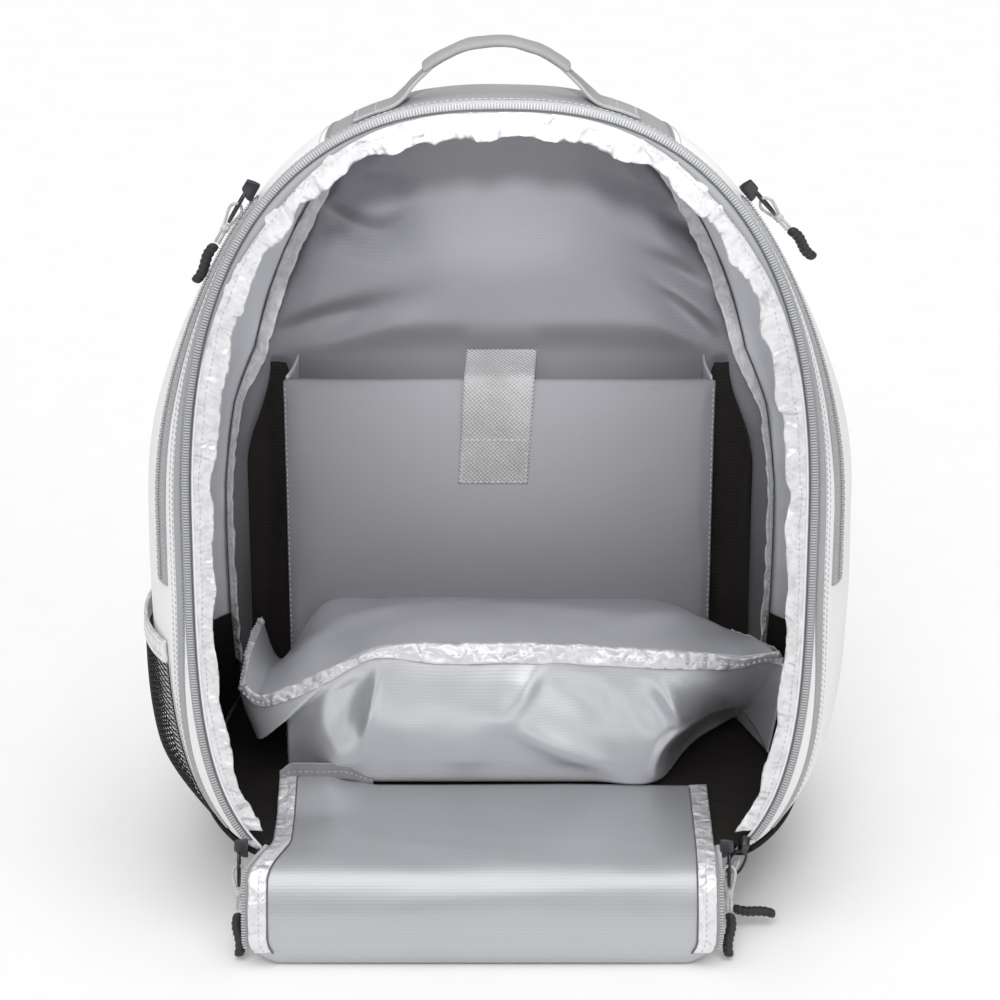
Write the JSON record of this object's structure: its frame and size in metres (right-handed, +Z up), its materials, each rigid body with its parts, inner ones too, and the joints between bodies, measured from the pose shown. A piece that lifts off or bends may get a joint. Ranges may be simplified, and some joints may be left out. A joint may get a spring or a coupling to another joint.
{
  "type": "sports backpack",
  "caption": "Light grey sports backpack standing unzipped, its front panel folded under the base, with a satin lining, padded laptop sleeve, shoe compartment divider and corded zip pulls.",
  "frame": {"origin": "on the floor, on the flat underside of the doubled front panel, below the middle of the bag", "axes": "+Z up, +X to the right as seen from the open front, +Y from the open front towards the back"},
  "size_m": [0.3816, 0.2777, 0.4779],
  "materials": {
    "light_polyester": "matt, near-white plain-woven pack cloth",
    "grey_polyester": "matt, light grey plain-woven pack cloth",
    "grey_satin": "soft sheen, thin satin lining with faint cross bars",
    "bright_satin": "strong soft sheen, crumpled satin lining",
    "charcoal_lining": "dull dark lining cloth",
    "satin_binding": "shiny, puckered binding tape",
    "webbing": "matt, coarse woven tape",
    "zip_tape": "matt twill tape with a glossy coil",
    "black_net": "open net",
    "cord_yarn": "matt braid",
    "black_rubber": "satin moulded rubber",
    "gunmetal": "smooth dark plating"
  },
  "bodies": {
    "root": {"base_panel": "charcoal_lining", "base_lining": "charcoal_lining", "side_panel_left": "light_polyester", "side_panel_right": "light_polyester", "top_panel": "grey_polyester", "side_lining_left": "grey_satin", "side_lining_right": "grey_satin", "top_lining": "grey_satin", "back_panel": "light_polyester", "back_lining": "grey_satin", "main_zip": "zip_tape", "rim_binding": "satin_binding", "rear_binding_left": "satin_binding", "rear_binding_right": "satin_binding", "seam_binding_right": "satin_binding", "sleeve_backing": "charcoal_lining", "sleeve_panel": "grey_satin", "sleeve_gusset_left": "grey_satin", "sleeve_gusset_right": "grey_satin", "sleeve_strap": "webbing", "sleeve_patch": "charcoal_lining", "shoe_divider": "bright_satin", "divider_binding": "satin_binding", "front_lining": "bright_satin", "front_binding_left": "satin_binding", "front_binding_right": "satin_binding", "front_zip_left": "zip_tape", "front_zip_right": "zip_tape", "front_panel": "light_polyester", "side_zip_left": "zip_tape", "side_zip_right": "zip_tape", "mesh_pocket": "black_net", "mesh_pocket_band": "satin_binding", "handle_end_left": "webbing", "handle_end_right": "webbing", "handle_grip": "light_polyester", "shoulder_pad_left": "light_polyester", "shoulder_pad_right": "light_polyester", "strap_webbing_left": "webbing", "strap_webbing_right": "webbing", "slider_low_left": "gunmetal", "wire_loop_low_left": "gunmetal", "cord_low_left": "cord_yarn", "grip_low_left": "black_rubber", "slider_low_right": "gunmetal", "wire_loop_low_right": "gunmetal", "cord_low_right": "cord_yarn", "grip_low_right": "black_rubber", "slider_floor_right": "gunmetal", "wire_loop_floor_right": "gunmetal", "cord_floor_right": "cord_yarn", "grip_floor_right": "black_rubber", "slider_upper_left": "gunmetal", "wire_loop_upper_left": "gunmetal", "cord_upper_left": "cord_yarn", "grip_upper_left": "black_rubber", "slider_upper_right": "gunmetal", "wire_loop_upper_right": "gunmetal", "cord_upper_right": "cord_yarn", "grip_upper_right": "black_rubber"}
  },
  "joints": []
}
